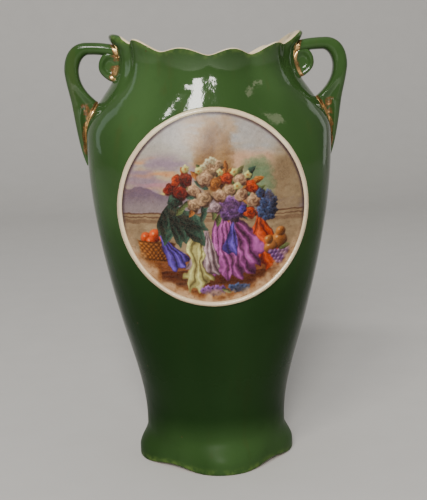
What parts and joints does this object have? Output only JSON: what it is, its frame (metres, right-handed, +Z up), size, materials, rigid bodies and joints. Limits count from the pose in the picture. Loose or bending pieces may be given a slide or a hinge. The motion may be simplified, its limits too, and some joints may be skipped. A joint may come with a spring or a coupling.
{
  "type": "two-handled ceramic vase",
  "caption": "Hollow green-glazed ceramic vase with scrolled side handles, a fluted rim, a lobed foot and a framed round medallion on its front.",
  "frame": {"origin": "middle of the vase's outline seen from above, on the plane that its foot rests on", "axes": "+Z up along the vase, -Y towards the front with the medallion, X through the two handles"},
  "size_m": [0.17, 0.1178, 0.26],
  "materials": {
    "green_glaze": "glossy deep green glaze, slightly uneven, with fine pinholes",
    "cream_glaze": "glossy cream glaze on the rim's lip, the medallion's bead and the inside",
    "painted_medallion": "glossy painted picture under a clear glaze, on a cream ground",
    "worn_gilding": "thin gilding, partly rubbed away"
  },
  "bodies": {
    "root": {"vase": "green_glaze"}
  },
  "joints": []
}
